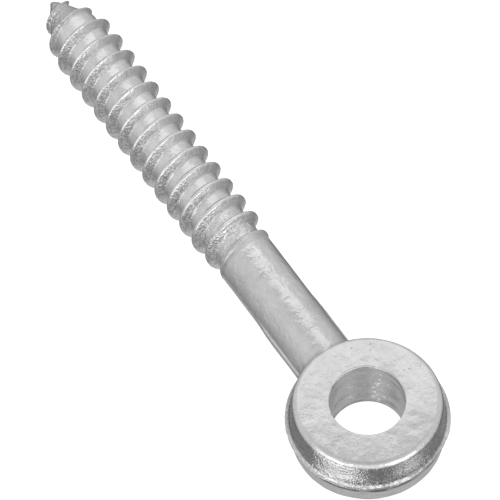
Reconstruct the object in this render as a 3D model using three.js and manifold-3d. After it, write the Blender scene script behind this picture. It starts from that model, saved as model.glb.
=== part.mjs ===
// Forged eye lag bolt: a flat round eye on a plain shank with a right-hand wood thread and a gimlet point.
// The real bolt is one steel forging. It is divided here, at its own changes of section, into six solids
// that meet face to face: gimlet_point, wood_thread, thread_runout, shank, neck and eye.
//
// Millimetres, +Z up. The bolt lies on the plane z = 0: its axis runs along +X from the point to the eye,
// and the eye's bore is vertical. The origin is on that plane, under the middle of the overall length.

import * as THREE from "three";
import { mergeVertices } from "three/addons/utils/BufferGeometryUtils.js";
import Module from "manifold-3d";

// Driving dimensions
const overallLength = 122.1;
const threadDiameter = 12.7; // half-inch lag thread, six to the inch
const threadPitch = 25.4 / 6;
const rootDiameter = 9.5;
const shankDiameter = 11;
const eyeDiameter = 29.4; // across the parting-line flash
const boreDiameter = 13.7;
const eyeThickness = 11.8;

// Thread details
const flankSlope = Math.tan(THREE.MathUtils.degToRad(30)); // axial run of a flank for each unit of its height
const crestWidth = 0.34;
const pointLength = 13; // from the tip to the first full crest
const pointFullness = 0.85; // below 1, the crests of the point swell faster than a quarter of a sine wave
const pointTipRadius = 0.12;
const pointSlope = Math.tan(THREE.MathUtils.degToRad(30)); // the point's core is a 60 degree cone
const fullThreadEnd = 61.5; // from the tip, where the crest starts to fall
const runoutLength = 6.5; // over which the crest falls to the shank
const grooveFadeStart = 63.5; // from the tip, where the groove starts to rise
const grooveFadeLength = 2.3;
const crestPhase = 0.36; // where a crest crosses the +Y side, along X

// Neck and eye details
const flashFadeStart = 78; // from the tip, where the parting-line flash starts to show on the neck
const neckFlashHeight = 0.28;
const neckFlashHalfAngle = THREE.MathUtils.degToRad(4);
const eyeStubLength = 0.8; // of the neck that is one with the eye
const boreChamfer = 0.15;
const faceEdgeRound = 1;
const upperHalf = { faceRadius: 12.4, draft: THREE.MathUtils.degToRad(7) }; // as forged in the upper die
const lowerHalf = { faceRadius: 12.65, draft: THREE.MathUtils.degToRad(5) };
const flashHalfThickness = 0.25;
const flashFillet = 0.55;

// Resolution
const barSides = 36;
const eyeSides = 64;
const arcSteps = 3;
const mergeDistance = 1e-4;

// Derived stations along X
const tipX = -overallLength / 2;
const eyeRadius = eyeDiameter / 2;
const eyeX = overallLength / 2 - eyeRadius;
const fullThreadX = tipX + pointLength;
const runoutX = tipX + fullThreadEnd;
const shankX = runoutX + runoutLength;
const neckX = tipX + flashFadeStart;
const eyeStubX = eyeX - eyeRadius - eyeStubLength;
const axisHeight = threadDiameter / 2;

const crestFull = threadDiameter / 2;
const rootFull = rootDiameter / 2;
const shankRadius = shankDiameter / 2;

const { clamp, lerp } = THREE.MathUtils;

// The bar's surface

// Radius of the bar's core at station x: the cone of the point, then the thread's root.
function coreRadius(x) {
  return Math.min(rootFull, pointTipRadius + (x - tipX) * pointSlope);
}

// Radius of the thread's crest where it passes station x.
function crestRadius(x) {
  const ogive = Math.sin((Math.PI / 2) * clamp((x - tipX) / pointLength, 0, 1)) ** pointFullness;
  const fall = clamp((x - runoutX) / runoutLength, 0, 1);
  return lerp(crestFull * ogive, shankRadius, fall);
}

// Radius of the groove's floor at station x, behind the crest that passes crestX. It rises along the helix.
function grooveRadius(x, crestX) {
  const rise = clamp((crestX - tipX - grooveFadeStart) / grooveFadeLength, 0, 1);
  return lerp(coreRadius(x), shankRadius, rise);
}

// How far the groove behind crestX runs before and after its floor, as distances from that crest.
function grooveStations(crestX) {
  const half = crestWidth / 2;
  const floor = grooveRadius(crestX + threadPitch / 2, crestX);
  const before = Math.max(0, crestRadius(crestX) - floor) * flankSlope;
  const after = Math.max(0, crestRadius(crestX + threadPitch) - floor) * flankSlope;
  return [half, half + before, threadPitch - half - after, threadPitch - half];
}

// Height of the parting-line flash, which runs along both sides of the neck.
function flashHeight(x, angle) {
  const fromSide = Math.asin(Math.abs(Math.sin(angle)));
  const shape = Math.max(0, 1 - fromSide / neckFlashHalfAngle);
  return neckFlashHeight * shape * clamp((x - neckX) / (eyeStubX - neckX), 0, 1);
}

// Distance from the bar's axis to its surface, at station x and at an angle from +Y towards +Z.
function barRadius(x, angle) {
  const turn = (x - crestPhase) / threadPitch - angle / (2 * Math.PI);
  const along = (turn - Math.floor(turn)) * threadPitch;
  const crestX = x - along;
  const half = crestWidth / 2;
  const first = crestRadius(crestX) - Math.max(0, along - half) / flankSlope;
  const next = crestRadius(crestX + threadPitch) - Math.max(0, threadPitch - along - half) / flankSlope;
  const surface = Math.max(grooveRadius(x, crestX), first, next);
  return x > shankX ? shankRadius + flashHeight(x, angle) : surface;
}

function barPoint(x, angle) {
  const r = barRadius(x, angle);
  return [x, r * Math.cos(angle), r * Math.sin(angle)];
}

// Solids

// A closed solid from columns of points that run from x1 to x2. Its ends are flat and fanned from the axis.
// The last column joins the first joinShift rows further on, which is one turn's rows on a thread.
function columnSolid(columns, x1, x2, joinShift = 0) {
  const rows = columns[0].length;
  const startCentre = columns.length * rows;
  const endCentre = startCentre + 1;
  const positions = [...columns.flat(2), x1, 0, 0, x2, 0, 0];
  const faces = [];
  columns.forEach((_, i) => {
    const next = (i + 1) % columns.length;
    const shift = next === 0 ? joinShift : 0;
    const vertex = (k) => i * rows + k;
    const nextVertex = (k) => next * rows + Math.min(k + shift, rows - 1);
    for (let k = 0; k < rows - 1; k++) {
      faces.push(vertex(k), nextVertex(k + 1), vertex(k + 1));
      faces.push(vertex(k), nextVertex(k), nextVertex(k + 1));
    }
    faces.push(startCentre, nextVertex(0), vertex(0));
    faces.push(endCentre, vertex(rows - 1), nextVertex(rows - 1));
  });
  const geometry = new THREE.BufferGeometry();
  geometry.setAttribute("position", new THREE.Float32BufferAttribute(positions, 3));
  geometry.setIndex(faces);
  return withoutFlatFaces(mergeVertices(geometry, mergeDistance));
}

// Drops the faces that have collapsed to a line or a point.
function withoutFlatFaces(geometry) {
  const index = geometry.getIndex().array;
  const kept = [];
  for (let i = 0; i < index.length; i += 3) {
    const [a, b, c] = index.subarray(i, i + 3);
    if (a !== b && b !== c && c !== a) kept.push(a, b, c);
  }
  geometry.setIndex(kept);
  return geometry;
}

// A length of the threaded bar. Its rows follow the helix, and are held between the two end planes.
function threadedLength(x1, x2) {
  const firstTurn = Math.floor((x1 - crestPhase) / threadPitch) - 2;
  const lastTurn = Math.ceil((x2 - crestPhase) / threadPitch) + 1;
  const columns = [];
  for (let side = 0; side < barSides; side++) {
    const angle = (side / barSides) * 2 * Math.PI;
    const column = [];
    for (let turn = firstTurn; turn < lastTurn; turn++) {
      const crestX = crestPhase + threadPitch * (turn + side / barSides);
      for (const along of grooveStations(crestX)) {
        column.push(barPoint(clamp(crestX + along, x1, x2), angle));
      }
    }
    columns.push(column);
  }
  const rowsPerTurn = columns[0].length / (lastTurn - firstTurn);
  return columnSolid(columns, x1, x2, rowsPerTurn);
}

// A length of the plain bar, with extra columns beside the flash on its two sides.
function plainLength(x1, x2) {
  const angles = [];
  for (let side = 0; side < barSides; side++) {
    const angle = (side / barSides) * 2 * Math.PI;
    const onFlash = side % (barSides / 2) === 0;
    angles.push(...(onFlash ? [angle - neckFlashHalfAngle, angle, angle + neckFlashHalfAngle] : [angle]));
  }
  const columns = angles.map((angle) => [barPoint(x1, angle), barPoint(x2, angle)]);
  return columnSolid(columns, x1, x2);
}

// Points on an arc of the eye's outline, from one angle to another in degrees.
function arc(centreR, centreZ, radius, from, to) {
  return Array.from({ length: arcSteps + 1 }, (_, i) => {
    const a = THREE.MathUtils.degToRad(lerp(from, to, i / arcSteps));
    return [centreR + radius * Math.cos(a), centreZ + radius * Math.sin(a)];
  });
}

// One half of the ring's outline as [radius, height] pairs, from the bore's wall out to the flash. The height is
// counted away from the parting plane.
function halfRingOutline({ faceRadius, draft }) {
  const boreRadius = boreDiameter / 2;
  const top = eyeThickness / 2;
  const edgeZ = top - faceEdgeRound;
  const flankTop = faceRadius + faceEdgeRound * Math.cos(draft);
  const filletZ = flashHalfThickness + flashFillet;
  const flankFoot = flankTop + (edgeZ - filletZ) * Math.tan(draft);
  return [
    [boreRadius, top - boreChamfer],
    [boreRadius + boreChamfer, top],
    ...arc(faceRadius, edgeZ, faceEdgeRound, 90, THREE.MathUtils.radToDeg(draft)),
    ...arc(flankFoot + flashFillet, filletZ, flashFillet, 180, 270),
    [eyeRadius, flashHalfThickness],
  ];
}

function ringGeometry() {
  const upper = halfRingOutline(upperHalf);
  const lower = halfRingOutline(lowerHalf).map(([r, height]) => [r, -height]);
  const outline = [...lower, ...upper.reverse(), lower[0]].map(([r, z]) => new THREE.Vector2(r, z));
  const ring = new THREE.LatheGeometry(outline, eyeSides);
  ring.rotateX(Math.PI / 2);
  ring.translate(eyeX, 0, 0);
  return ring;
}

const wasm = await Module();
wasm.setup();

function manifoldOf(geometry) {
  const bare = new THREE.BufferGeometry();
  bare.setAttribute("position", geometry.getAttribute("position"));
  bare.setIndex(geometry.getIndex());
  const merged = withoutFlatFaces(mergeVertices(bare, mergeDistance));
  return new wasm.Manifold(
    new wasm.Mesh({
      numProp: 3,
      vertProperties: merged.getAttribute("position").array,
      triVerts: new Uint32Array(merged.getIndex().array),
    }),
  );
}

function geometryOf(solid) {
  const mesh = solid.getMesh();
  const geometry = new THREE.BufferGeometry();
  geometry.setAttribute("position", new THREE.BufferAttribute(mesh.vertProperties, 3));
  geometry.setIndex(new THREE.BufferAttribute(mesh.triVerts, 1));
  return geometry;
}

// The ring, with the root of the neck run halfway into its wall.
function eyeGeometry() {
  const halfwayIntoWall = eyeX - (boreDiameter + eyeDiameter) / 4;
  const stub = plainLength(eyeStubX, halfwayIntoWall);
  return geometryOf(manifoldOf(ringGeometry()).add(manifoldOf(stub)));
}

// Assembly

const zinc = { color: 0xc6c8c9, roughness: 0.42, metalness: 0.9 };

function piece(name, geometry) {
  geometry.computeVertexNormals();
  const mesh = new THREE.Mesh(geometry, new THREE.MeshStandardMaterial(zinc));
  mesh.name = name;
  return mesh;
}

const eyeBolt = new THREE.Group();
eyeBolt.name = "eye_bolt";
eyeBolt.position.z = axisHeight;
eyeBolt.add(
  piece("gimlet_point", threadedLength(tipX, fullThreadX)),
  piece("wood_thread", threadedLength(fullThreadX, runoutX)),
  piece("thread_runout", threadedLength(runoutX, shankX)),
  piece("shank", plainLength(shankX, neckX)),
  piece("neck", plainLength(neckX, eyeStubX)),
  piece("eye", eyeGeometry()),
);

export default eyeBolt;
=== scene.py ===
"""The looks of a forged lag eye bolt: fine meshes and hot-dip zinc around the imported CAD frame.

The bolt is one forging that lies on its side, so every piece here stands for a stretch of it and none
moves. Shapes are worked out in millimetres in the CAD's own frame: X runs along the bolt from its point to
its eye, Y across it and Z up. The bar's surface is one formula in x and in the angle round the bar, so its
stretches meet without a seam.
"""

import math

import bpy
import numpy as np
from mathutils import Matrix, Vector


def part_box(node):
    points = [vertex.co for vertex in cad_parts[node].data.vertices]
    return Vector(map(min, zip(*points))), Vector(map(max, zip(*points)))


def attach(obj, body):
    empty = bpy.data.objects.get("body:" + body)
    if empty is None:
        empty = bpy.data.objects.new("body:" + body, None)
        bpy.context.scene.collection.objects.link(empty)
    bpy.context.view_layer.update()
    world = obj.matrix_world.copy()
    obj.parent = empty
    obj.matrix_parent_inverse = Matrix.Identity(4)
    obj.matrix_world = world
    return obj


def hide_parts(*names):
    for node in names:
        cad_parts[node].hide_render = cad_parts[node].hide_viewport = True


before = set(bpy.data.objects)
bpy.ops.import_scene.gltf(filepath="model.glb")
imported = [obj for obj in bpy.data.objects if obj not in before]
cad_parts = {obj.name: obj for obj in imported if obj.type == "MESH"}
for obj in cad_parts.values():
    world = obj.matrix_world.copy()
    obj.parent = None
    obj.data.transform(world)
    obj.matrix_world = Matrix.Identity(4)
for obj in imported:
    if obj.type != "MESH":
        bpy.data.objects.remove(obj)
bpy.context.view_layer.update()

MM = 0.001


def box_mm(node):
    """The lowest and highest corners of a CAD node, in millimetres."""
    low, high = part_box(node)
    return np.array(low) / MM, np.array(high) / MM


# Measures that come from the frame

EYE_LOW, EYE_HIGH = box_mm("eye")
THREAD_LOW, THREAD_HIGH = box_mm("wood_thread")
SHANK_LOW, SHANK_HIGH = box_mm("shank")
TIP_X = box_mm("gimlet_point")[0][0]
POINT_X = THREAD_LOW[0]
RUNOUT_X = THREAD_HIGH[0]
SHANK_X = SHANK_LOW[0]
NECK_X = SHANK_HIGH[0]
STUB_X = EYE_LOW[0]
AXIS_Z = (EYE_LOW[2] + EYE_HIGH[2]) / 2
EYE_RADIUS = (EYE_HIGH[1] - EYE_LOW[1]) / 2
EYE_X = EYE_HIGH[0] - EYE_RADIUS
EYE_TOP = EYE_HIGH[2] - AXIS_Z
CREST_RADIUS = THREAD_HIGH[2] - AXIS_Z
SHANK_RADIUS = SHANK_HIGH[2] - AXIS_Z

# Thread, a half-inch lag screw's

PITCH = 25.4 / 6
ROOT_RADIUS = 4.72
CREST_PHASE = 0.36  # where a crest crosses the +Y side, along X
FLANK_SLOPE = math.tan(math.radians(28))
CREST_WIDTH_POINT = 0.18
CREST_WIDTH_SHANK = 0.62
CREST_BLEND = 0.13  # how far each rounding reaches
ROOT_BLEND_POINT = 0.4
ROOT_BLEND_SHANK = 0.15
CORE_BLEND = 0.6
POINT_SLOPE = math.tan(math.radians(30))
POINT_BLUNTNESS = 0.4
POINT_FULLNESS = 0.72
RUNOUT_LENGTH = SHANK_X - RUNOUT_X
GROOVE_END = RUNOUT_X + 2.2
GROOVE_FADE = 2.2

# Neck and eye

NECK_FLASH_HEIGHT = 0.34
NECK_FLASH_TOP = 0.5  # half the width of its top, and of its foot
NECK_FLASH_FOOT = 0.95
NECK_FLASH_START = NECK_X - 1
NECK_FLASH_FULL = NECK_X + 7
BORE_RADIUS = 6.72
BORE_ROUND = 0.22
FACE_CROWN = 0.17  # how far the faces fall away from their inner to their outer edge
UPPER_HALF = {"edge": 13.4, "round": 1.3, "draft": math.radians(7), "fillet": 0.85, "flash": 0.16}
LOWER_HALF = {"edge": 13.62, "round": 1.1, "draft": math.radians(5), "fillet": 0.3, "flash": 0.36}

# Ways from the eye's middle, as angles from +X towards +Y

CRUST_SIDE = math.radians(-20)  # where its flash is crustiest
WORN_SIDE = math.radians(149)  # where its bore is worn wide
TRIMMED_SIDE = math.radians(17)  # where its flash is trimmed shortest
NEARLY_TRIMMED_SIDE = math.radians(-16)  # where it is trimmed a little
SPREAD_SIDE = math.radians(75)  # where its flash is left widest
NECK_SIDE = math.radians(-150)  # beside the neck, where its flash is wide too
LEDGE_SHADE_SIDE = math.radians(-145)  # where the ledge above its flash has the most painted shade

# How far the zinc's rough areas reach

POINT_CRUST_END = TIP_X + 8
GROOVE_CRUST_START = RUNOUT_X - 2.5
FOOT_GRAIN_REACH = 0.35

# Mesh resolution

BAR_SIDES = 168
THREAD_ROWS = 34
PLAIN_STEP = 0.3
RING_SIDES = 360
RING_STEP = 0.22
ROW_CROWDING = 0.62  # from 0, evenly spaced, to 1, all at the crest
SIDE_CROWDING = 0.8
SLOPE_STEP = 0.02


# Noise and ramps ----------------------------------------------------------------------------------


def corner_value(x, y, z):
    """A repeatable number from 0 to 1 for each whole-number corner."""
    h = (x * 73856093) ^ (y * 19349663) ^ (z * 83492791)
    h = (h ^ (h >> 13)) * 1274126177 & 0xFFFFFFFF
    return ((h ^ (h >> 16)) & 0xFFFF) / 0xFFFF


def noise(points, size, seed=0):
    """Smooth noise from 0 to 1 at each point, with lumps about size millimetres across."""
    p = points / size + seed * 17.31 + 1000
    cell = np.floor(p).astype(np.int64)
    f = p - cell
    f = f * f * (3 - 2 * f)
    total = np.zeros(len(points))
    for dx in (0, 1):
        for dy in (0, 1):
            for dz in (0, 1):
                weight = np.abs(1 - dx - f[:, 0]) * np.abs(1 - dy - f[:, 1]) * np.abs(1 - dz - f[:, 2])
                total += weight * corner_value(cell[:, 0] + dx, cell[:, 1] + dy, cell[:, 2] + dz)
    return total


def ramp(value, low, high):
    """0 below low, 1 above high and smooth in between. low may be the larger."""
    t = np.clip((value - low) / (high - low), 0, 1)
    return t * t * (3 - 2 * t)


def beside(turn, middle, width):
    """1 at the angle middle and 0 from width away from it, all in radians."""
    off = np.abs((turn - middle + math.pi) % (2 * math.pi) - math.pi)
    return ramp(off, width, 0)


def zinc_relief(points):
    """How far the zinc coat stands off the forging, in millimetres, around 0."""
    swell = noise(points, 4.5, seed=1) - 0.5
    ripple = noise(points, 1.5, seed=2) - 0.5
    return 0.05 * swell + 0.022 * ripple


# The bar's surface --------------------------------------------------------------------------------


def smooth_max(a, b, width):
    """The larger of a and b, with their crossing rounded over width."""
    h = np.clip(0.5 + 0.5 * (a - b) / width, 0, 1)
    return b + (a - b) * h + width * h * (1 - h)


def smooth_min(a, b, width):
    return -smooth_max(-a, -b, width)


def crest_radius(x):
    """The thread's outer radius at station x: full between the point and the runout."""
    swell = np.sin(math.pi / 2 * np.clip((x - TIP_X) / (POINT_X - TIP_X), 0, 1)) ** POINT_FULLNESS
    fall = np.clip((x - RUNOUT_X) / RUNOUT_LENGTH, 0, 1)
    return CREST_RADIUS * swell * (1 - fall) + SHANK_RADIUS * fall


def groove_radius(x, crest_x):
    """The thread's root radius at station x, ahead of the crest at crest_x. Near the shank it rises to the
    shank's own."""
    from_tip = np.maximum(x - TIP_X, 0)
    cone = POINT_BLUNTNESS * (1 - np.exp(-from_tip / POINT_BLUNTNESS)) + POINT_SLOPE * from_tip
    core = smooth_min(cone, ROOT_RADIUS, CORE_BLEND)
    rise = ramp(crest_x, GROOVE_END, GROOVE_END + GROOVE_FADE)
    return core * (1 - rise) + SHANK_RADIUS * rise


def flash_height(x, angle):
    """How far the parting-line flash stands out along both sides of the neck."""
    off_side = np.arcsin(np.abs(np.sin(angle))) * SHANK_RADIUS
    grown = ramp(x, NECK_FLASH_START, NECK_FLASH_FULL)
    ridge = ramp(off_side, NECK_FLASH_FOOT, NECK_FLASH_TOP)
    return NECK_FLASH_HEIGHT * grown * ridge


def thread_radius(x, angle):
    """The thread as rolled, before its zinc."""
    turn = (x - CREST_PHASE) / PITCH - angle / (2 * math.pi)
    along = (turn - np.floor(turn)) * PITCH
    crest_x = x - along
    share = np.clip((x - TIP_X) / (SHANK_X - TIP_X), 0, 1)
    half = (CREST_WIDTH_POINT + (CREST_WIDTH_SHANK - CREST_WIDTH_POINT) * share ** 2) / 2
    root_blend = ROOT_BLEND_POINT + (ROOT_BLEND_SHANK - ROOT_BLEND_POINT) * share ** 1.5
    behind = crest_radius(crest_x)
    ahead = crest_radius(crest_x + PITCH)
    from_behind = smooth_min(behind + (half - along) / FLANK_SLOPE, behind, CREST_BLEND)
    from_ahead = smooth_min(ahead + (half - PITCH + along) / FLANK_SLOPE, ahead, CREST_BLEND)
    flanks = np.maximum(from_behind, from_ahead)
    return smooth_max(flanks, groove_radius(x, crest_x), root_blend)


def bar_radius(x, angle):
    """Distance from the bar's axis to its zinc, at station x and at an angle from +Y towards +Z."""
    plain = SHANK_RADIUS + flash_height(x, angle)
    threaded = np.minimum(thread_radius(x, angle), CREST_RADIUS)
    return np.where(x < SHANK_X, threaded, plain)


def bar_points(x, angle):
    """Points on the bar. The zinc only eats into the crests, which keeps the thread's outer size."""
    radius = bar_radius(x, angle)
    direction = np.stack([np.zeros_like(angle), np.cos(angle), np.sin(angle)], axis=1)
    surface = direction * radius[:, None]
    surface[:, 0] = x
    off = zinc_relief(surface) + crust_relief(surface)
    radius = np.maximum(radius + off * ramp(x, TIP_X, TIP_X + 1.5), 0.02)
    surface = direction * np.minimum(radius, CREST_RADIUS)[:, None]
    surface[:, 0] = x
    surface[:, 2] += AXIS_Z
    return surface


# Where the zinc is rough, dull and stained, and where shade is painted on it
#
# Each function gives a share from 0 to 1 at each point. The limits of its ramps are in millimetres, along
# the bolt, out from its axis or the eye's, or up from its axis.


def from_eye_axis(points):
    return np.hypot(points[:, 0] - EYE_X, points[:, 1])


def way_from_eye(points):
    return np.arctan2(points[:, 1], points[:, 0] - EYE_X)


def on_eye(points):
    """1 on the eye and 0 on the neck and the rest of the bar."""
    return ramp(points[:, 0], STUB_X + 1, STUB_X + 3)


def in_bore(points):
    return ramp(from_eye_axis(points), BORE_RADIUS + 0.3, BORE_RADIUS + 0.1)


def thread_foot(points):
    """1 on the lower part of the thread's flanks and on their fillets, and 0 on the root and the crests."""
    x, y, z = points.T
    angle = np.arctan2(z, y)
    rise = thread_radius(x + SLOPE_STEP, angle) - thread_radius(x - SLOPE_STEP, angle)
    slope = np.abs(rise) / (2 * SLOPE_STEP)
    below_crest = ramp(np.hypot(y, z), CREST_RADIUS - 0.4, CREST_RADIUS - 0.9)
    return ramp(slope, 0.1, 0.35) * ramp(slope, 1.85, 1.5) * below_crest * ramp(x, SHANK_X, SHANK_X - 0.1)


def crust(points):
    """How lumpy the zinc is: at the point, in the last groove and above the eye's flash."""
    x, y, z = points.T
    at_point = ramp(x, TIP_X + 0.8, TIP_X + 2) * ramp(x, POINT_CRUST_END, POINT_CRUST_END - 3)
    at_point = at_point * (0.4 + 0.6 * ramp(y, 1, -2.5))
    in_groove = ramp(x, GROOVE_CRUST_START, GROOVE_CRUST_START + 2) * ramp(x, SHANK_X + 0.5, SHANK_X - 2)
    in_groove = in_groove * ramp(np.hypot(y, z), SHANK_RADIUS + 0.2, SHANK_RADIUS - 0.5)
    above_flash = ramp(from_eye_axis(points), 13.2, 13.6) * ramp(z, 0, 0.3) * ramp(z, 2.8, 0.9)
    above_flash = above_flash * (0.25 + 0.75 * beside(way_from_eye(points), CRUST_SIDE, 1.3))
    return np.maximum.reduce([at_point, 0.45 * in_groove, above_flash * on_eye(points)])


def grain(points):
    """How speckled the zinc is: most on the thread's -Y flanks and in places a little way on to its root,
    less on its other flanks and the eye's upper flank."""
    x, y, z = points.T
    out = np.hypot(y, z)
    on_wall = ramp(from_eye_axis(points), 12.9, 13.3) * ramp(z, 0, 0.3) * on_eye(points)
    flank = ramp(out, ROOT_RADIUS + 0.05, ROOT_RADIUS + 0.3) * ramp(out, CREST_RADIUS, CREST_RADIUS - 0.25)
    reach = np.array([FOOT_GRAIN_REACH, 0, 0])
    near_foot = np.maximum(thread_foot(points - reach), thread_foot(points + reach))
    in_places = 0.5 * ramp(noise(points, 0.7, seed=11), 0.3, 0.6)
    rough = np.maximum.reduce([flank, 0.8 * thread_foot(points), in_places * near_foot])
    side = 0.25 + 0.75 * ramp(-y / np.maximum(out, 0.1), 0.1, 0.6) * ramp(z, -2.4, -0.8)
    return np.maximum(0.5 * on_wall, rough * side * ramp(x, SHANK_X, SHANK_X - 2))


def dull(points):
    """How matt the zinc is: it is dull at the foot of the thread's flanks and where they end."""
    x = points[:, 0]
    last = ramp(x, SHANK_X - 2.5, SHANK_X - 1.5) * ramp(x, SHANK_X + 0.4, SHANK_X)
    return np.maximum(thread_foot(points) * (1 - crust(points)), last)


def eye_shade_and_stain(points):
    """The eye's share of the painted shade and stains: a painted shadow under its flash, painted shade on
    the ledge and the wall above it, and stains in its bore.
    """
    z = points[:, 2]
    out = from_eye_axis(points)
    turn = way_from_eye(points)
    broken = 0.5 + 0.5 * ramp(noise(points, 2.2, seed=9), 0.3, 0.55)
    # Painted shadow: a dark line on the lower flank under the flash, broken up by noise and strongest
    # towards CRUST_SIDE.
    shadow_under_flash = broken * ramp(out, 13.7, 13.85) * ramp(z, 0.08, -0.04) * ramp(z, -2.4, -1.8)
    shadow_under_flash = shadow_under_flash * (0.45 + 0.55 * ramp(z, -0.5, -1.1)) * (0.5 + 0.5 * beside(turn, CRUST_SIDE, 2.2))
    # Painted shade: darkens the eye's upper flank above the flash.
    wall_shade = ramp(out, 13.05, 13.35) * ramp(z, 0.25, 0.7)
    # Painted shade on the ledge above the flash, at two sides of the eye.
    sides = np.maximum(beside(turn, LEDGE_SHADE_SIDE, 1), 0.6 * beside(turn, SPREAD_SIDE, 0.8))
    ledge_shade = sides * ramp(out, 13.15, 13.4) * ramp(z, 0, 0.15)
    stained = ramp(noise(points * np.array([0.3, 0.3, 1]), 0.9, seed=10), 0.45, 0.7) * in_bore(points)
    return np.maximum.reduce([shadow_under_flash, 0.56 * wall_shade, 0.5 * ledge_shade, 0.38 * stained]) * on_eye(points)


def shade_and_stain(points):
    """How much darker the zinc is made: most on the eye, by painted shade and stains, less by painted shade
    on one side of the step to the shank and at the foot of the thread's flanks, and least on the rest of the
    bar."""
    x, y, _ = points.T
    # Painted shade on the -Y side of the step from the thread's last groove to the shank.
    step_shade = ramp(x, SHANK_X - 0.7, SHANK_X - 0.2) * ramp(x, SHANK_X + 0.6, SHANK_X + 0.1) * ramp(y, -1, -3.5)
    plain = ramp(x, SHANK_X - 0.5, SHANK_X)
    # 0.15 * dull adds painted shade at the foot of the thread's flanks; plain makes the zinc a little darker
    # from the shank on.
    return np.maximum.reduce([eye_shade_and_stain(points), 0.4 * step_shade, 0.15 * dull(points), 0.09 * plain])


def crust_relief(points):
    """How far the crust stands off the zinc under it, in millimetres."""
    lumps = ramp(noise(points, 0.85, seed=3), 0.45, 0.95) - 0.2
    grains = noise(points, 0.45, seed=4) - 0.5
    return crust(points) * (0.16 - 0.08 * on_eye(points)) * (lumps + 0.8 * grains)


# Meshes -------------------------------------------------------------------------------------------


def new_object(name, points, faces):
    mesh = bpy.data.meshes.new(name)
    mesh.from_pydata((points * MM).tolist(), [], faces)
    mesh.validate()
    made = bpy.data.objects.new(name, mesh)
    bpy.context.scene.collection.objects.link(made)
    return made


def column_mesh(name, columns, angles, x1, x2, shift):
    """A closed piece of the bar from x1 to x2. Each column holds its stations along X, and the last column
    joins the first shift rows further on, which is one turn's rows on a thread."""
    ids, stations, station_angles = [], [], []
    for column, angle in zip(columns, angles):
        held = np.clip(column, x1, x2)
        fresh = np.concatenate([[True], np.diff(held) > 1e-9])
        ids.append(len(stations) + np.cumsum(fresh) - 1)
        stations.extend(held[fresh])
        station_angles.extend([angle] * int(fresh.sum()))
    points = bar_points(np.array(stations), np.array(station_angles))
    centres = np.array([[x1, 0, AXIS_Z], [x2, 0, AXIS_Z]])
    start, end = len(points), len(points) + 1
    faces = []
    rows = len(columns[0])
    for i, left in enumerate(ids):
        following = (i + 1) % len(ids)
        right = ids[following]
        moved = shift if following == 0 else 0
        right = right[np.minimum(np.arange(rows) + moved, rows - 1)]
        for k in range(rows - 1):
            corners = (left[k], right[k], right[k + 1], left[k + 1])
            face = list(dict.fromkeys(int(c) for c in corners))
            if len(face) > 2:
                faces.append(face)
        faces.append([start, int(right[0]), int(left[0])])
        faces.append([end, int(left[-1]), int(right[-1])])
    return new_object(name, np.concatenate([points, centres]), faces)


def bar_angles():
    return np.arange(BAR_SIDES) / BAR_SIDES * 2 * math.pi


def threaded_piece(name, x1, x2):
    """A stretch of thread, whose rows follow the helix."""
    first = math.floor((x1 - CREST_PHASE) / PITCH) - 2
    last = math.ceil((x2 - CREST_PHASE) / PITCH) + 1
    rows = np.arange(first * THREAD_ROWS, last * THREAD_ROWS) / THREAD_ROWS
    angles = bar_angles()
    columns = [CREST_PHASE + PITCH * (crowded(rows) + angle / (2 * math.pi)) for angle in angles]
    return column_mesh(name, columns, angles, x1, x2, THREAD_ROWS)


def crowded(rows):
    """Draws a turn's rows together at its crest, at 0 and at 1, where the shape is finest."""
    turn = np.floor(rows)
    u = rows - turn
    return turn + u - ROW_CROWDING * np.sin(2 * math.pi * u) / (2 * math.pi)


def plain_piece(name, x1, x2):
    """A stretch of plain bar, with closer sides beside the flash."""
    rows = max(2, round((x2 - x1) / PLAIN_STEP) + 1)
    u = bar_angles()
    angles = u - SIDE_CROWDING * np.sin(2 * u) / 2
    columns = [np.linspace(x1, x2, rows) for _ in angles]
    return column_mesh(name, columns, angles, x1, x2, 0)


# The eye ------------------------------------------------------------------------------------------


def arc(centre_r, centre_z, radius, start, end):
    """Points along an arc of the eye's outline, between two angles in radians."""
    steps = max(4, math.ceil(abs(end - start) * radius / (RING_STEP / 2)))
    return [
        (centre_r + radius * math.cos(a), centre_z + radius * math.sin(a))
        for a in np.linspace(start, end, steps + 1)
    ]


def half_outline(half):
    """One half of the ring's section, from the bore's wall out to the flash, as pairs of a radius and a
    height away from the parting plane."""
    quarter = math.pi / 2
    edge_z = EYE_TOP - half["round"]
    face_radius = half["edge"] - half["round"]
    fillet_z = half["flash"] + half["fillet"]
    flank_foot = half["edge"] + (edge_z - fillet_z) * math.tan(half["draft"])
    corner = half["flash"] * 0.8
    return [
        *arc(BORE_RADIUS + BORE_ROUND, EYE_TOP - BORE_ROUND, BORE_ROUND, 2 * quarter, quarter),
        *arc(face_radius, edge_z, half["round"], quarter, half["draft"]),
        *arc(flank_foot + half["fillet"], fillet_z, half["fillet"], 2 * quarter, 3 * quarter),
        *arc(EYE_RADIUS - corner, half["flash"] - corner, corner, quarter, 0),
    ]


def ring_section():
    """The ring's whole section as an array of points, no two further apart than RING_STEP."""
    corners = half_outline(UPPER_HALF) + [(r, -z) for r, z in reversed(half_outline(LOWER_HALF))]
    section = []
    for (r1, z1), (r2, z2) in zip(corners, corners[1:] + corners[:1]):
        pieces = math.ceil(math.hypot(r2 - r1, z2 - z1) / RING_STEP - 1e-6)
        section += [(r1 + (r2 - r1) * k / pieces, z1 + (z2 - z1) * k / pieces) for k in range(pieces)]
    return np.array(section)


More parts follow.
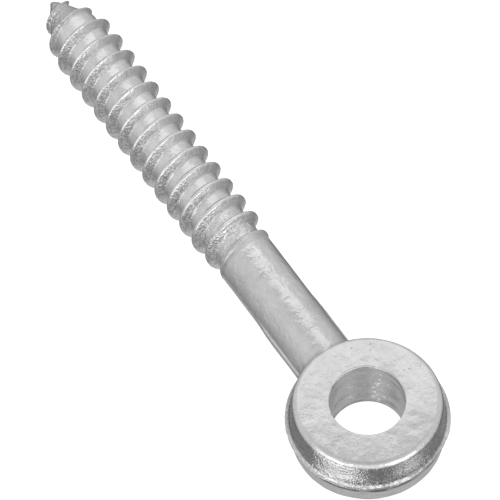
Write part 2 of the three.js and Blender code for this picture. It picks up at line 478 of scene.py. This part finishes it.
def ring_object():
    section = ring_section()
    after = np.roll(section, -1, axis=0)
    before = np.roll(section, 1, axis=0)
    tangent = after - before
    outward = np.stack([-tangent[:, 1], tangent[:, 0]], axis=1)
    outward /= np.linalg.norm(outward, axis=1)[:, None]
    turn = np.arange(RING_SIDES) / RING_SIDES * 2 * math.pi
    across = np.stack([np.cos(turn), np.sin(turn)], axis=1)
    count = len(section)
    radius, height = np.tile(section[:, 0], RING_SIDES), np.tile(section[:, 1], RING_SIDES)
    ways = np.repeat(across, count, axis=0)
    radius, height = as_forged(radius, height, np.repeat(turn, count))
    surface = np.column_stack([EYE_X + radius * ways[:, 0], radius * ways[:, 1], height])
    off = zinc_relief(surface) + crust_relief(surface) + forging_marks(surface)
    radius = np.minimum(radius + off * np.tile(outward[:, 0], RING_SIDES), EYE_RADIUS)
    height = np.clip(height + off * np.tile(outward[:, 1], RING_SIDES), -EYE_TOP, EYE_TOP)
    points = np.column_stack([EYE_X + radius * ways[:, 0], radius * ways[:, 1], AXIS_Z + height])
    faces = []
    for j in range(RING_SIDES):
        here, there = j * count, (j + 1) % RING_SIDES * count
        for k in range(count):
            following = (k + 1) % count
            faces.append([here + k, here + following, there + following, there + k])
    return new_object("ring", points, faces)


def as_forged(radius, height, turn):
    """Makes the turned ring a forged one, with crowned faces, an uneven flash and a bore worn wide on one
    side."""
    crown = np.clip((radius - BORE_RADIUS) / (UPPER_HALF["edge"] - BORE_RADIUS), 0, 1) ** 2
    height = height * (1 - FACE_CROWN / EYE_TOP * crown)
    around = np.column_stack([np.cos(turn), np.sin(turn), np.zeros_like(turn)]) * EYE_RADIUS
    wave = 0.18 * noise(around, 3.2, seed=6) + 0.14 * noise(around, 0.8, seed=7) - 0.09
    trimmed = 0.34 * beside(turn, TRIMMED_SIDE, 0.55) + 0.1 * beside(turn, NEARLY_TRIMMED_SIDE, 0.6)
    spread = 0.35 * beside(turn, SPREAD_SIDE, 0.65) + 0.2 * beside(turn, NECK_SIDE, 0.8)
    on_flash = ramp(radius, 13.9, EYE_RADIUS)
    worn = 0.35 * beside(turn, WORN_SIDE, 1.3) * ramp(height, -14, 4) * ramp(radius, 7.8, 7)
    fuller = 0.15 * beside(turn, WORN_SIDE, 1.8) * ramp(radius, 12.2, 13) * ramp(height, 4.2, 5.2)
    radius = radius + (spread - wave - trimmed) * on_flash + worn + fuller
    return np.minimum(radius, EYE_RADIUS), height + fuller


def forging_marks(points):
    """Shallow marks, in millimetres, along the bore's wall, from the tool that pierced it, and along the
    lower half's flank."""
    z = points[:, 2]
    below_flash = ramp(from_eye_axis(points), 13.3, 13.5) * ramp(z, -0.5, -0.8)
    long_way = points * np.array([0.22, 0.22, 1])
    low_down = ramp(z, 1, -3.5)
    streaks = noise(long_way, 0.5, seed=5) - 0.5 + 0.7 * low_down * (noise(long_way, 0.28, seed=8) - 0.5)
    return (0.022 * in_bore(points) + 0.08 * below_flash) * streaks


def eye_object():
    """The ring, with the root of the neck run into its wall and joined to it."""
    ring = ring_object()
    stub = plain_piece("stub", STUB_X, EYE_X - (BORE_RADIUS + EYE_RADIUS) / 2)
    join = ring.modifiers.new("join", "BOOLEAN")
    join.operation = "UNION"
    join.solver = "MANIFOLD"
    join.object = stub
    joined = bpy.data.meshes.new_from_object(ring.evaluated_get(bpy.context.evaluated_depsgraph_get()))
    joined.name = "zinc_eye"
    eye = bpy.data.objects.new("zinc_eye", joined)
    bpy.context.scene.collection.objects.link(eye)
    for scratch in (ring, stub):
        bpy.data.objects.remove(scratch)
    return eye


# Zinc ---------------------------------------------------------------------------------------------


def link(tree, source, target):
    tree.links.new(source, target)


def noise_node(tree, coordinates, scale, detail, roughness=0.5):
    node = tree.nodes.new("ShaderNodeTexNoise")
    node.inputs["Scale"].default_value = scale
    node.inputs["Detail"].default_value = detail
    node.inputs["Roughness"].default_value = roughness
    link(tree, coordinates, node.inputs["Vector"])
    return node.outputs["Fac"]


def map_node(tree, value, from_low, from_high, to_low, to_high):
    node = tree.nodes.new("ShaderNodeMapRange")
    node.inputs["From Min"].default_value = from_low
    node.inputs["From Max"].default_value = from_high
    node.inputs["To Min"].default_value = to_low
    node.inputs["To Max"].default_value = to_high
    link(tree, value, node.inputs["Value"])
    return node.outputs["Result"]


def math_node(tree, operation, a, b):
    node = tree.nodes.new("ShaderNodeMath")
    node.operation = operation
    for socket, value in zip(node.inputs, (a, b)):
        if isinstance(value, (int, float)):
            socket.default_value = value
        else:
            link(tree, value, socket)
    return node.outputs["Value"]


def bump_node(tree, height, distance_mm, under=None):
    node = tree.nodes.new("ShaderNodeBump")
    node.inputs["Distance"].default_value = distance_mm * MM
    node.inputs["Strength"].default_value = 1
    link(tree, height, node.inputs["Height"])
    if under is not None:
        link(tree, under, node.inputs["Normal"])
    return node.outputs["Normal"]


def spots_node(tree, coordinates, scale, size_mm):
    """Sparse round spots of about that radius: 1 in the middle of each and 0 around it."""
    node = tree.nodes.new("ShaderNodeTexVoronoi")
    node.inputs["Scale"].default_value = scale
    link(tree, coordinates, node.inputs["Vector"])
    return map_node(tree, node.outputs["Distance"], 0.3 * size_mm * scale, size_mm * scale, 1, 0)


def scaled_node(tree, coordinates, scales):
    """The coordinates, each multiplied by its own scale."""
    node = tree.nodes.new("ShaderNodeVectorMath")
    node.operation = "MULTIPLY"
    node.inputs[1].default_value = scales
    link(tree, coordinates, node.inputs[0])
    return node.outputs["Vector"]


def area_node(tree, name):
    """The share from 0 to 1 that one of the areas in AREAS was given at each vertex."""
    node = tree.nodes.new("ShaderNodeAttribute")
    node.attribute_name = name
    return node.outputs["Fac"]


def zinc_material():
    """Hot-dip zinc: pale and smooth with soft patches, sparse specks and pits, and rough and crusty areas.
    Noise scales are lumps to the millimetre, and bump heights are millimetres."""
    material = bpy.data.materials.new("hot_dip_zinc")
    material.use_nodes = True
    tree = material.node_tree
    shader = tree.nodes["Principled BSDF"]
    shader.inputs["Metallic"].default_value = 1

    place = tree.nodes.new("ShaderNodeTexCoord")
    at = scaled_node(tree, place.outputs["Object"], (1 / MM, 1 / MM, 1 / MM))
    along = scaled_node(tree, at, (0.2, 0.2, 1))
    parts = tree.nodes.new("ShaderNodeSeparateXYZ")
    link(tree, at, parts.inputs["Vector"])
    on_bar = map_node(tree, parts.outputs["X"], STUB_X + 1, STUB_X + 3, 1, 0.2)
    crusty = area_node(tree, "crust")
    grainy = area_node(tree, "grain")
    shade_and_stain_share = area_node(tree, "shade_and_stain")
    matt = area_node(tree, "dull")

    patches = noise_node(tree, at, 0.22, 4, 0.6)
    drawn = noise_node(tree, along, 1.5, 3, 0.6)
    runs = map_node(tree, noise_node(tree, at, 0.3, 3, 0.6), 0.49, 0.56, 0, 1)
    dents = map_node(tree, noise_node(tree, at, 0.9, 2, 0.5), 0.6, 0.75, 0, 1)
    mottle = noise_node(tree, at, 0.9, 3, 0.6)
    fine = noise_node(tree, at, 2.4, 2, 0.6)
    speckle = noise_node(tree, at, 2.0, 1.2, 0.55)
    grit = noise_node(tree, at, 3.2, 1, 0.5)
    nodules = spots_node(tree, at, 0.55, 0.26)
    pits = spots_node(tree, at, 0.6, 0.22)

    tone = map_node(tree, patches, 0.3, 0.7, 0.785, 0.885)
    tone = math_node(tree, "ADD", tone, map_node(tree, mottle, 0.25, 0.75, -0.055, 0.055))
    tone = math_node(tree, "ADD", tone, map_node(tree, fine, 0.25, 0.75, -0.03, 0.03))
    tone = math_node(tree, "ADD", tone, map_node(tree, drawn, 0.25, 0.75, -0.03, 0.03))
    tone = math_node(tree, "ADD", tone, math_node(tree, "MULTIPLY", nodules, 0.08))
    tone = math_node(tree, "SUBTRACT", tone, math_node(tree, "MULTIPLY", pits, 0.2))
    rough_tone = map_node(tree, speckle, 0.4, 0.62, -0.24, 0.08)
    rough_area = math_node(tree, "MAXIMUM", crusty, grainy)
    tone = math_node(tree, "ADD", tone, math_node(tree, "MULTIPLY", rough_tone, rough_area))
    # Painted shade and the bore's stains darken the base colour here.
    shade = math_node(tree, "SUBTRACT", 1, math_node(tree, "MULTIPLY", shade_and_stain_share, 0.8))
    tone = math_node(tree, "MULTIPLY", tone, shade)
    link(tree, tone, shader.inputs["Base Color"])

    dullness = map_node(tree, patches, 0.3, 0.7, 0.23, 0.17)
    dullness = math_node(tree, "SUBTRACT", dullness, math_node(tree, "MULTIPLY", grainy, 0.08))
    dullness = math_node(tree, "ADD", dullness, math_node(tree, "MULTIPLY", matt, 0.25))
    dullness = math_node(tree, "ADD", dullness, math_node(tree, "MULTIPLY", pits, 0.2))
    link(tree, dullness, shader.inputs["Roughness"])

    relief = bump_node(tree, noise_node(tree, at, 0.4, 2.5, 0.5), 0.12)
    relief = bump_node(tree, fine, 0.012, relief)
    relief = bump_node(tree, math_node(tree, "MULTIPLY", runs, on_bar), 0.035, relief)
    relief = bump_node(tree, dents, 0.02, relief)
    relief = bump_node(tree, nodules, 0.025, relief)
    relief = bump_node(tree, math_node(tree, "MULTIPLY", pits, -1), 0.03, relief)
    relief = bump_node(tree, math_node(tree, "MULTIPLY", speckle, crusty), 0.24, relief)
    relief = bump_node(tree, math_node(tree, "MULTIPLY", grit, grainy), 0.14, relief)
    link(tree, relief, shader.inputs["Normal"])
    return material


# Dressing the pieces -------------------------------------------------------------------------------

AREAS = (crust, grain, shade_and_stain, dull)


def dress(piece, material, *nodes):
    """Finishes a piece with smooth shading, its shares of each area, its zinc and the CAD nodes it stands
    for."""
    mesh = piece.data
    mesh.shade_smooth()
    mesh.set_sharp_from_angle(angle=math.radians(55))
    points = np.empty(len(mesh.vertices) * 3, np.float32)
    mesh.vertices.foreach_get("co", points)
    points = points.reshape(-1, 3).astype(float) / MM
    points[:, 2] -= AXIS_Z
    for area in AREAS:
        attribute = mesh.attributes.new(area.__name__, "FLOAT", "POINT")
        attribute.data.foreach_set("value", area(points).astype(np.float32))
    mesh.materials.clear()
    mesh.materials.append(material)
    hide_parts(*nodes)
    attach(piece, "root")


# Studio -------------------------------------------------------------------------------------------

CAMERA_AZIMUTH = 59.4
CAMERA_ELEVATION = 57.7
CAMERA_ROLL = 2.25
CAMERA_DISTANCE = 902 * MM
CAMERA_LENS = 360
CAMERA_TARGET = Vector((5.33, 1.52, AXIS_Z)) * MM
SOFTBOX_DISTANCE = 0.8
FLOOR_HALF = 4

# The light tent's grey at each elevation, which is in degrees
TENT = [(-90, 0.55), (-72, 0.51), (-60, 0.45), (-48, 0.3), (-36, 0.35), (-24, 0.41), (-12, 0.48)]
TENT += [(0, 0.55), (12, 0.63), (24, 0.67), (36, 0.7), (60, 0.69), (72, 0.56), (90, 0.53)]


def towards(azimuth, elevation):
    """The unit vector to a place seen at that azimuth, from -Y towards +X, and elevation, in degrees."""
    a, e = math.radians(azimuth), math.radians(elevation)
    return Vector((math.sin(a) * math.cos(e), -math.cos(a) * math.cos(e), math.sin(e)))


def add_camera():
    data = bpy.data.cameras.new("camera")
    data.sensor_width = 36
    data.lens = CAMERA_LENS
    data.clip_start, data.clip_end = 0.01, 10
    camera = bpy.data.objects.new("camera", data)
    bpy.context.scene.collection.objects.link(camera)
    back = towards(CAMERA_AZIMUTH, CAMERA_ELEVATION)
    turn = (-back).to_track_quat("-Z", "Y").to_matrix() @ Matrix.Rotation(math.radians(-CAMERA_ROLL), 3, "Z")
    camera.matrix_world = Matrix.Translation(CAMERA_TARGET + back * CAMERA_DISTANCE) @ turn.to_4x4()
    bpy.context.scene.camera = camera


def softbox(name, azimuth, elevation, width, height, brightness, only=None):
    """A soft rectangular light, width by height in metres, that faces the middle of the bolt. Its azimuth is
    counted from the camera's. It lights everything, or only one piece."""
    data = bpy.data.lights.new(name, "AREA")
    data.shape = "RECTANGLE"
    data.size, data.size_y = width, height
    data.energy = brightness * math.pi * width * height
    light = bpy.data.objects.new(name, data)
    back = towards(CAMERA_AZIMUTH + azimuth, elevation)
    light.rotation_euler = (-back).to_track_quat("-Z", "Y").to_euler()
    light.location = back * SOFTBOX_DISTANCE
    light.visible_camera = False
    bpy.context.scene.collection.objects.link(light)
    if only is not None:
        lit = bpy.data.collections.new(name + "_lights")
        lit.objects.link(only)
        light.light_linking.receiver_collection = lit


def light_tent():
    """A pale tent round the bolt, brightest high up and dimmest below the horizon, most of all far from the
    camera."""
    world = bpy.data.worlds.new("tent")
    bpy.context.scene.world = world
    world.use_nodes = True
    tree = world.node_tree
    place = tree.nodes.new("ShaderNodeTexCoord")
    parts = tree.nodes.new("ShaderNodeSeparateXYZ")
    link(tree, place.outputs["Generated"], parts.inputs["Vector"])
    up = parts.outputs["Z"]
    nearness = tree.nodes.new("ShaderNodeVectorMath")
    nearness.operation = "DOT_PRODUCT"
    nearness.inputs[1].default_value = towards(CAMERA_AZIMUTH, 0)
    link(tree, place.outputs["Generated"], nearness.inputs[0])
    near = nearness.outputs["Value"]

    tent = tree.nodes.new("ShaderNodeValToRGB")
    ramp_points = tent.color_ramp.elements
    while len(ramp_points) < len(TENT):
        ramp_points.new(0.5)
    for stop, (elevation, grey) in zip(ramp_points, TENT):
        stop.position = (math.sin(math.radians(elevation)) + 1) / 2
        stop.color = (grey, grey, grey, 1)
    link(tree, map_node(tree, up, -1, 1, 0, 1), tent.inputs["Fac"])

    far_side = map_node(tree, near, -0.35, 0, 1, 0)
    far_below = math_node(tree, "MULTIPLY", far_side, map_node(tree, up, -0.5, -0.2, 1, 0))
    far_below = math_node(tree, "MULTIPLY", far_below, map_node(tree, up, -0.86, -0.76, 0, 1))
    light = math_node(tree, "SUBTRACT", 1, math_node(tree, "MULTIPLY", far_below, 0.3))
    background = tree.nodes["Background"]
    link(tree, tent.outputs["Color"], background.inputs["Color"])
    link(tree, light, background.inputs["Strength"])


def add_floor():
    """A plain white floor. The bolt doesn't mirror it, so the light tent also lights it from below."""
    low, high = -FLOOR_HALF, FLOOR_HALF
    corners = [(low, low, 0), (high, low, 0), (high, high, 0), (low, high, 0)]
    mesh = bpy.data.meshes.new("floor")
    mesh.from_pydata(corners, [], [(0, 1, 2, 3)])
    floor = bpy.data.objects.new("floor", mesh)
    bpy.context.scene.collection.objects.link(floor)
    white = bpy.data.materials.new("floor_white")
    white.use_nodes = True
    shader = white.node_tree.nodes["Principled BSDF"]
    shader.inputs["Base Color"].default_value = (0.5, 0.5, 0.5, 1)
    shader.inputs["Roughness"].default_value = 1
    shader.inputs["Specular IOR Level"].default_value = 0
    shader.inputs["Emission Color"].default_value = (1, 1, 1, 1)
    shader.inputs["Emission Strength"].default_value = 0.9
    mesh.materials.append(white)
    floor.visible_glossy = False
    floor.visible_shadow = False


# The scene ----------------------------------------------------------------------------------------

bpy.context.scene.view_settings.view_transform = "Standard"
add_camera()
light_tent()
add_floor()
zinc = zinc_material()
dress(threaded_piece("zinc_point", TIP_X, POINT_X), zinc, "gimlet_point")
dress(threaded_piece("zinc_thread", POINT_X, RUNOUT_X), zinc, "wood_thread")
dress(threaded_piece("zinc_runout", RUNOUT_X, SHANK_X), zinc, "thread_runout")
dress(plain_piece("zinc_shank", SHANK_X, NECK_X), zinc, "shank")
dress(plain_piece("zinc_neck", NECK_X, STUB_X), zinc, "neck")
eye = eye_object()
dress(eye, zinc, "eye")

# Name, azimuth from the camera's, elevation, width, height, brightness
softbox("overhead", 184, 52, 0.64, 0.36, 0.26)
softbox("front", 0, 24, 1.5, 0.68, 0.26)
softbox("front_left", -42, 24, 0.5, 0.6, 0.6)
softbox("front_right", 42, 24, 0.5, 0.6, 0.6)
softbox("low_left", -35, -31, 0.62, 0.5, 1.6, only=eye)
softbox("low_right", 51, -38, 0.36, 0.24, 1.1, only=eye)
